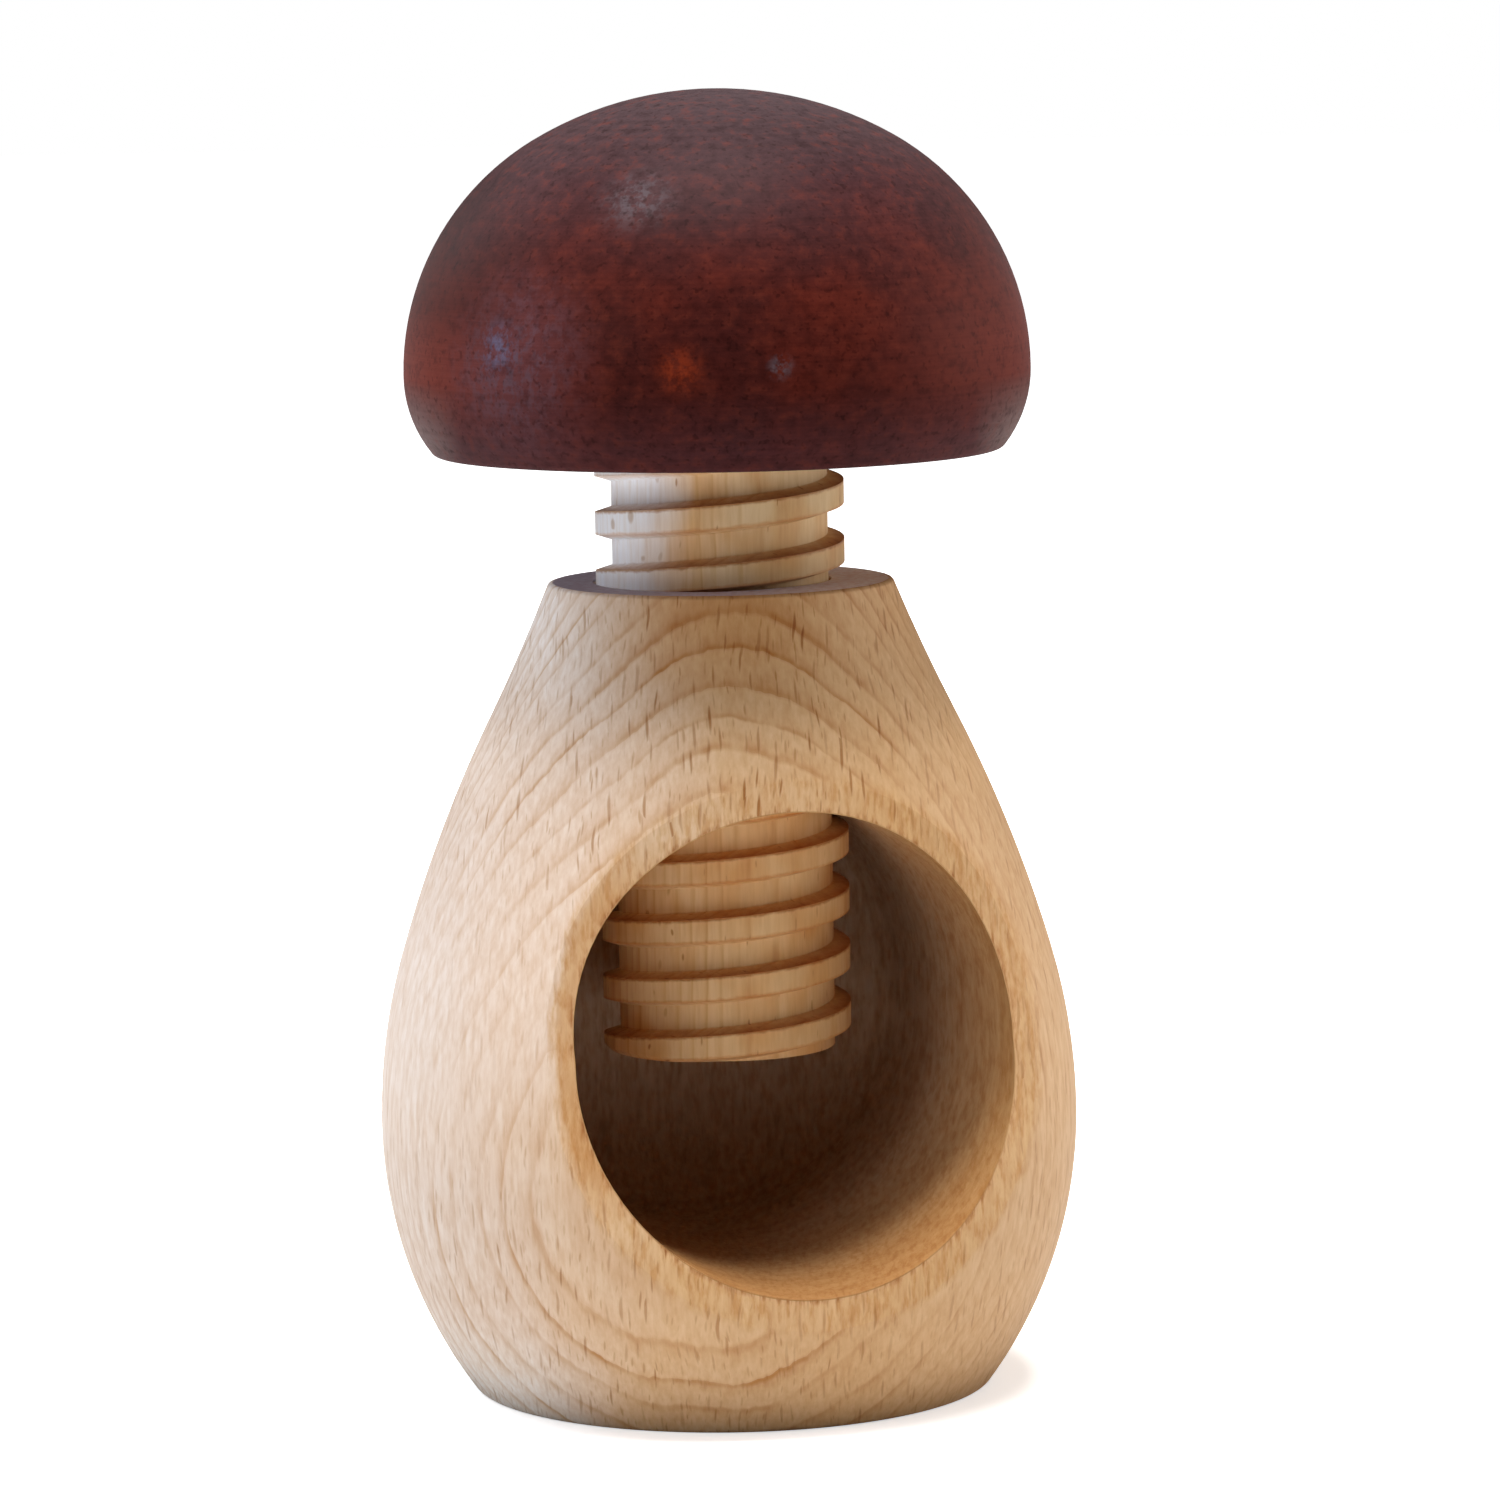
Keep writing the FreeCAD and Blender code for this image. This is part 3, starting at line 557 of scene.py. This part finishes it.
# %% [markdown]
# ## The screw's bare beech
#
# The thread is cut by a fast cutter that burns the wood where it rubs: along the
# upper flank of each ridge there is a ragged brown line, and a finer orange one
# runs along its lower edge. A helix is simple to find from a place: take the turn
# about the axis away from the height, both counted in turns of the thread, and
# what is left over says how far above or below the nearest ridge the place is.

# %% where the thread's ridge is
PITCH = mm(6)
RIDGE_START = mm(2.8)      # height of a ridge's middle line on the +X side


def above_the_ridge(tree, place):
    """Height above the middle line of the nearest ridge, from -PITCH / 2 to PITCH / 2."""
    parts = add(tree, "SeparateXYZ", {"Vector": place})
    angle = add(tree, "Math", {0: parts.outputs["Y"], 1: parts.outputs["X"]}, operation="ARCTAN2")
    rise = add(tree, "Math", {0: parts.outputs["Z"], 1: RIDGE_START}, operation="SUBTRACT")
    lift = add(tree, "Math", {0: angle, 1: -PITCH / math.tau, 2: rise}, operation="MULTIPLY_ADD")
    return add(tree, "Math", {0: lift, 1: PITCH / 2, 2: -PITCH / 2}, operation="WRAP")


print(f"the ridge climbs {PITCH * 1000:.0f} mm a turn")

# %% [markdown]
# The screw is turned from another piece of the log, so its rings are closer and
# its pith lies on another side. Its rays are small, and its fibres are drawn as
# bundles half a millimetre wide, again because the real ones are too fine to show.

# %% the screw's grain
SCREW_PITH = 60
SCREW_TURN = FACE_TURN - 0.9

screw_finish, tree, shader = new_material("screw_beech", Roughness=0.6, Specular_IOR_Level=0.3)
place = add(tree, "TexCoord").outputs["Object"]
log = in_the_log(tree, SCREW_TURN, SCREW_PITH)
height = add(tree, "SeparateXYZ", {"Vector": place}).outputs["Z"]

rings = late_wood(tree, log, ring_width=1.6, wander=4, stepping=0.3)
rays = ray_flecks(tree, log, SCREW_PITH, spacing=(1.2, 3, 2.4), half_size=(0.12, 0.5, 0.8))
fibres = lumps(tree, log, (0.5, 0.5, 5), 3.0, 0.6)
clouds = lumps(tree, place, (7, 7, 9), 2.0)
ragged = lumps(tree, place, (1.1, 1.1, 0.8), 3.0, 0.6)
print("the screw's grain takes", len(tree.nodes), "nodes")

# %% [markdown]
# Above the neck the screw's left side is painted a pale grey, a painted cool light from the left, while its
# right side, and all that stays inside the stem, are honey. Where it is painted grey its grain is shown
# weaker, so a second value says how warm the wood is painted.

# %% the screw's tone
lifted = add(tree, "MapRange", {"Value": height, "From Min": neck_top - mm(12), "From Max": neck_top})
side = add(tree, "SeparateXYZ", {"Vector": in_the_log(tree, FACE_TURN, 0)}).outputs["X"]
drifting = add(tree, "Math", {0: clouds, 1: mm(5), 2: side}, operation="MULTIPLY_ADD")
rightwards = add(tree, "MapRange", {"Value": drifting, "From Min": -mm(7), "From Max": mm(10)})
# painted cool light: the left above the neck is painted near white and grey
above = add(tree, "ValToRGB", {"Fac": rightwards}, stops=[
    (0.0, "#fafafe"), (0.2, "#f2eef0"), (0.45, "#e8c89c"), (1.0, "#d2b284")])
below = add(tree, "ValToRGB", {"Fac": rightwards}, stops=[(0.1, "#f2cf9c"), (0.6, "#e4bd88")])
ground = layered(tree, below, [(lifted, above)], "MIX")
grey_lit = add(tree, "MapRange", {"Value": rightwards, "From Min": 0.45, "From Max": 0.1})
painted_grey_light = add(tree, "Math", {0: lifted, 1: grey_lit}, operation="MULTIPLY")
warm = add(tree, "MapRange", {"Value": painted_grey_light, "To Min": 1.0, "To Max": 0.35})
print("with its tone,", len(tree.nodes))

# %% [markdown]
# The burnt lines follow the ridge. Its height is torn a little by the ragged
# pattern first, so that the lines come out uneven, as a burn is, and the place in
# the turn then goes through two ramps: one peak for each line.

# %% the screw's layers
BURN_TEAR = mm(0.5)

ridge = above_the_ridge(tree, place)
torn_ridge = add(tree, "Math", {0: ragged, 1: BURN_TEAR, 2: ridge}, operation="MULTIPLY_ADD")
ridge_middle = 0.5 - BURN_TEAR / 2 / PITCH
in_turn = add(tree, "Math", {0: torn_ridge, 1: 1 / PITCH, 2: ridge_middle}, operation="MULTIPLY_ADD")
burnt = add(tree, "ValToRGB", {"Fac": in_turn}, stops=[
    (0.645, 0.0), (0.69, 0.85), (0.74, 0.5), (0.81, 0.0)])
scorched = add(tree, "ValToRGB", {"Fac": in_turn}, stops=[
    (0.22, 0.0), (0.28, 0.45), (0.31, 0.45), (0.35, 0.0)])
fibre_dark = add(tree, "MapRange", {"Value": fibres, "From Min": 0.6, "From Max": 0.3})
clouded = add(tree, "MapRange", {"Value": clouds, "From Min": 0.45, "From Max": 0.75})
orange = add(tree, "Math", {0: clouded, 1: warm}, operation="MULTIPLY")
warm_rings = add(tree, "Math", {0: rings, 1: warm}, operation="MULTIPLY")
colour = layered(tree, ground, [
    (warm_rings, "#ecdcc8"), (fibre_dark, "#f4eee8"), (rays, "#d0b8a0"), (orange, "#f0d4ae"),
    (scorched, "#dea463"), (burnt, "#b8823f")])
relief = add(tree, "Math", {0: ragged, 1: 0.7, 2: fibres}, operation="MULTIPLY_ADD")
put_on(tree, shader, colour, relief, strength=0.25)
print("the screw's finish takes", len(tree.nodes), "nodes in all")

# %% [markdown]
# ## The cap: beech under a dark stain
#
# The cap was stained red-brown and given a thin satin lacquer. The stain sank in
# unevenly: the pores and rays took more of it and stand out as fine dark specks,
# while the denser wood shows through in orange red. The turning tool left fine
# level lines. Pores are about 0.05 mm wide, and are drawn 0.6 mm wide so that they
# show. The stain eats most of the light, so the gloss is left to a weak, rough
# coat, and a trace of sheen stands for the dust that dulls the cap's outline.

# %% the cap's patterns
LINE_SPACING = mm(0.55)

cap_finish, tree, shader = new_material(
    "stained_beech", Roughness=0.6, Specular_IOR_Level=0.0, Coat_Weight=0.12, Coat_Roughness=0.45,
    Coat_IOR=1.3, Sheen_Weight=0.05, Sheen_Roughness=0.5)
place = add(tree, "TexCoord").outputs["Object"]
height = add(tree, "SeparateXYZ", {"Vector": place}).outputs["Z"]
side = add(tree, "SeparateXYZ", {"Vector": in_the_log(tree, FACE_TURN, 0)}).outputs["X"]
sideways = add(tree, "MapRange", {"Value": side, "From Min": -mm(32), "From Max": mm(32)})
blotches = lumps(tree, place, (9, 9, 8), 4.0, 0.6)
mottle = lumps(tree, place, (1.5, 1.5, 1.2), 3.0, 0.6)
specks = lumps(tree, place, (0.6, 0.6, 0.6), 1.0)
scratches = lumps(tree, place, (1.2, 1.2, 1.4), 3.0, 0.7)
tool_lines = add(tree, "TexNoise", {"W": height, "Scale": 1 / LINE_SPACING, "Detail": 2.0},
                 noise_dimensions="1D")
print("the cap's patterns take", len(tree.nodes), "nodes")

# %% [markdown]
# The stain is darkest in front. Low on the two flanks it is painted a lighter red, as painted light where
# the lamps catch the round sides. At the rim it is painted greyish, most of all at the outer corners: a
# painted sheen along the outline.

# %% the cap's flanks and rim
ground = add(tree, "ValToRGB", {"Fac": blotches}, stops=[
    (0.3, "#391512"), (0.5, "#411611"), (0.68, "#501b12")])
# painted light on the lower flanks
on_flank = add(tree, "ValToRGB", {"Fac": sideways}, stops=[
    (0.02, 0.8), (0.16, 0.7), (0.34, 0.0), (0.72, 0.0), (0.98, 0.8)])
lower = add(tree, "MapRange", {"Value": height, "From Min": mm(118), "From Max": mm(109), "To Min": 0.15})
lit_red_flank = add(tree, "Math", {0: on_flank, 1: lower}, operation="MULTIPLY")
# painted sheen along the rim and its outer corners
at_rim = add(tree, "MapRange", {"Value": height, "From Min": mm(105), "From Max": mm(99)})
greyer = add(tree, "MapRange", {"Value": on_flank, "To Min": 0.45})
sheen_rim = add(tree, "Math", {0: at_rim, 1: greyer}, operation="MULTIPLY")
corners = add(tree, "ValToRGB", {"Fac": sideways}, stops=[(0.02, 0.8), (0.1, 0.0), (0.9, 0.0), (0.98, 0.8)])
sheen_corner = add(tree, "Math", {0: at_rim, 1: corners}, operation="MULTIPLY")
print("with the flanks and the rim,", len(tree.nodes))

# %% [markdown]
# The crown is painted a greyish purple, a painted reflection of the lamp above, and the very top a little
# more. Below it, the round shoulders are painted darker again, a painted shade that dims the lamps'
# reflection there. Over all of it the wood's mottle lets some orange red through.

# %% the cap's crown and shoulders
# painted reflection of the lamp above on the crown and its very top
painted_crown_reflection = add(tree, "MapRange", {"Value": height, "From Min": mm(113), "From Max": mm(128), "To Max": 0.85},
            interpolation_type="SMOOTHSTEP")
painted_tip_reflection = add(tree, "MapRange", {"Value": height, "From Min": mm(125), "From Max": mm(133)})
red = add(tree, "MapRange", {"Value": mottle, "From Min": 0.52, "From Max": 0.75, "To Max": 0.33})
# painted shade on the shoulders
shoulders = add(tree, "ValToRGB", {"Fac": sideways}, stops=[
    (0.02, 1.0), (0.12, 0.8), (0.22, 0.0), (0.8, 0.0), (0.9, 0.35), (0.98, 0.2)])
above_rim = add(tree, "MapRange", {"Value": height, "From Min": mm(106), "From Max": mm(113)})
under_crown = add(tree, "MapRange", {"Value": height, "From Min": mm(131), "From Max": mm(125)})
banded = add(tree, "Math", {0: above_rim, 1: under_crown}, operation="MULTIPLY")
shaded_shoulder = add(tree, "Math", {0: banded, 1: shoulders}, operation="MULTIPLY")
print("with the crown and shoulders,", len(tree.nodes))

# %% [markdown]
# The cap has five marks, each a cluster of ragged blots that thins out from its centre, over a faint haze.
# One was rubbed through to orange, and a small pale one is a scuff. The other three are painted
# reflections: a window's bluish glint low on the left, as a broad faint patch with a brighter core, and a
# grey highlight of the lamp above on the crown. A painted disc would look stuck on, so the blots are the
# peaks of a pattern that covers the whole cap, shown only near the centre.

# %% marks of use, and painted reflections
MARKS_AND_REFLECTIONS = [      # centre and size in millimetres, how strong the haze is, and the colour
    # worn through to the orange wood
    ((-12, -29.7, 107), 3.6, 0.3, "#7a2c15"),
    # painted reflection of a window: a broad, faint bluish patch
    ((-26.4, -18.2, 107.5), 12.5, 0.45, "#5a4048"),
    # painted reflection of a window: its brighter core
    ((-27.1, -16.6, 109.0), 3.4, 0.1, "#62586f"),
    # painted highlight of the lamp above, on the crown
    ((-13.6, -20.8, 123.6), 5.5, 0.25, "#504448"),
    # a small pale scuff
    ((-2.4, -31.9, 107.3), 1.8, 0.0, "#544a50")]


def mark(tree, place, ragged, centre, size, haze):
    """The mask of one mark or painted reflection, 0 to 1."""
    middle = [mm(value) for value in centre]
    away = add(tree, "VectorMath", {0: place, 1: middle}, operation="DISTANCE").outputs["Value"]
    fade = add(tree, "MapRange", {"Value": away, "From Min": mm(size), "From Max": 0.0},
               interpolation_type="SMOOTHSTEP")
    blots = add(tree, "MapRange", {"Value": ragged, "From Min": 0.44, "From Max": 0.6, "To Min": haze})
    return add(tree, "Math", {0: fade, 1: blots}, operation="MULTIPLY")


marks_and_reflections = [(mark(tree, place, scratches, centre, size, haze), tint) for centre, size, haze, tint in MARKS_AND_REFLECTIONS]
print(len(marks_and_reflections), "marks of use")

# %% [markdown]
# The painted light, sheen and reflections, the red mottle and the worn places cover the stain, so they are
# mixed in, from the broadest to the smallest. The painted shade on the shoulders is multiplied in
# afterwards, and so are the darker mottle, specks and tool lines, which are in the wood below and show
# through everything.

# %% the cap's layers
covered = layered(tree, ground, [
    (lit_red_flank, "#702c21"), (sheen_rim, "#42262a"), (sheen_corner, "#806c68"),
    (painted_crown_reflection, "#362023"), (painted_tip_reflection, "#3c2d2f"), (red, "#6a2c1e")] + marks_and_reflections, "MIX")
dark = add(tree, "MapRange", {"Value": mottle, "From Min": 0.5, "From Max": 0.3})
speckled = add(tree, "MapRange", {"Value": specks, "From Min": 0.60, "From Max": 0.72})
grooved = add(tree, "MapRange", {"Value": tool_lines, "From Min": 0.55, "From Max": 0.35})
colour = layered(tree, covered, [
    (shaded_shoulder, "#b8aaaa"), (dark, "#d9d0d0"), (speckled, "#d6cac6"), (grooved, "#f5f2f0")])
relief = add(tree, "Math", {0: mottle, 1: 0.6, 2: tool_lines}, operation="MULTIPLY_ADD")
put_on(tree, shader, colour, relief, strength=0.2)
print("the cap's finish takes", len(tree.nodes), "nodes in all")

# %% [markdown]
# ## The dowel's beech
#
# The dowel is hidden in the joint between the screw and the cap. It is plain
# planed beech, with the same rings and rays at a smaller scale. Its flutes are in
# the solid, so it needs no relief.

# %% beech for the dowel
DOWEL_PITH = 50

dowel_finish, tree, shader = new_material("dowel_beech", Roughness=0.65)
log = in_the_log(tree, 0.4, DOWEL_PITH)
rings = late_wood(tree, log, ring_width=1.5, wander=3, stepping=0.3)
rays = ray_flecks(tree, log, DOWEL_PITH, spacing=(1.2, 3, 2.4), half_size=(0.12, 1.5, 0.9))
fibres = lumps(tree, log, (0.3, 0.3, 5), 3.0, 0.6)
fibre_dark = add(tree, "MapRange", {"Value": fibres, "From Min": 0.6, "From Max": 0.3})
colour = layered(tree, linear("#dfc3a2"), [(rings, "#dcbfa4"), (fibre_dark, "#efe4da"), (rays, "#b89c84")])
tree.links.new(colour, shader.inputs["Base Color"])
print("the dowel's finish takes", len(tree.nodes), "nodes")

# %% [markdown]
# Each CAD node already carries its own material slot, so finishing a piece means
# putting the new material in that slot. The mesh isn't touched.

# %% put the finishes on
FINISHES = {"stem_body": stem_finish, "screw_spindle": screw_finish,
            "cap": cap_finish, "cap_dowel": dowel_finish}
for node, finish in FINISHES.items():
    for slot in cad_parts[node].material_slots:
        slot.material = finish
    print(node, "is finished in", finish.name)

# %% [markdown]
# ## Floor and light
#
# The floor is pale and plain. Seen by the camera it is lifted to white, so that
# only the object's soft shadow shows on it, while the light that it throws back
# up stays that of a pale grey table. The lift is an added glow, weaker near the
# object, where the shadow has to show.

# %% floor
FLOOR_GREY = 0.6

floor_finish = bpy.data.materials.new("pale_floor")
floor_finish.use_nodes = True
tree = floor_finish.node_tree
tree.nodes.clear()
seen = add(tree, "LightPath").outputs["Is Camera Ray"]
colour = layered(tree, [FLOOR_GREY] * 3 + [1], [(seen, "#ffffff")], "MIX")
matt = add(tree, "BsdfDiffuse", {"Color": colour})
place = add(tree, "TexCoord").outputs["Object"]
away = add(tree, "VectorMath", {0: place}, operation="LENGTH").outputs["Value"]
lift = add(tree, "MapRange", {"Value": away, "From Min": 0.15, "From Max": 0.6,
                              "To Min": 0.55, "To Max": 1.0})
glow = add(tree, "Emission", {"Color": [1, 1, 1, 1], "Strength": lift})
lifted = add(tree, "AddShader", {0: matt, 1: glow})
shown = add(tree, "MixShader", {0: seen, 1: matt, 2: lifted})
add(tree, "OutputMaterial", {"Surface": shown})

bpy.ops.mesh.primitive_circle_add(vertices=96, radius=4.0, fill_type="NGON", location=(0, 0, 0))
floor = bpy.context.object
floor.name = "floor"
floor.data.materials.append(floor_finish)
print("floor", [round(value, 1) for value in floor.dimensions])

# %% [markdown]
# Four square softboxes hang round the object at one metre. The left ones are a
# little cool, as daylight from a window is. The strongest hangs right above, which
# lights the shoulders and leaves the cavity dark, and two stand a little behind the
# object, which brightens its flanks. Each heading is counted from the camera's side.

# %% light
BOX_SIZE = 0.6


def softbox(name, turn, height, power, colour):
    """A square lamp, aimed at the object: turn is in degrees to the right of the camera,
    and height in degrees above level."""
    lamp = bpy.data.lights.new(name, "AREA")
    lamp.shape = "SQUARE"
    lamp.size = BOX_SIZE
    lamp.energy = power
    lamp.color = colour
    heading = math.atan2(to_camera.x, -to_camera.y) + math.radians(turn)
    dip = math.radians(height)
    level = math.cos(dip)
    towards = Vector((math.sin(heading) * level, -math.cos(heading) * level, math.sin(dip)))
    box = bpy.data.objects.new(name, lamp)
    bpy.context.scene.collection.objects.link(box)
    facing = towards.to_track_quat("Z", "Y").to_matrix().to_4x4()
    box.matrix_world = Matrix.Translation(Vector((0, 0, AIM_HEIGHT)) + towards) @ facing
    print(name, "stands at", [round(value, 2) for value in box.matrix_world.translation])


softbox("left_front", -45, 30, 2.6, (0.95, 1.0, 1.08))
softbox("left_rear", -125, 35, 5.0, (0.96, 1.02, 1.12))
softbox("right_rear", 100, 10, 4.2, (1.02, 1.0, 0.97))
softbox("overhead", 0, 88, 22.6, (1.0, 1.0, 1.0))

# %% [markdown]
# The sky behind is plain white to the camera, and to the object only a trace of
# light from all round, so that the shadows in the thread and the cavity stay deep.

# %% world
AMBIENT = 0.03

world = bpy.data.worlds.new("studio")
world.use_nodes = True
bpy.context.scene.world = world
sky = world.node_tree
sky.nodes.clear()
seen = add(sky, "LightPath").outputs["Is Camera Ray"]
strength = add(sky, "MapRange", {"Value": seen, "To Min": AMBIENT, "To Max": 1.0})
background = add(sky, "Background", {"Color": [1, 1, 1, 1], "Strength": strength})
add(sky, "OutputWorld", {"Surface": background})
bpy.context.scene.view_settings.view_transform = "Standard"
print("the sky lights the object at", AMBIENT)

# %% [markdown]
# Last, the view layer is brought up to date. No piece was added and no mesh was changed.

# %% the end
bpy.context.view_layer.update()
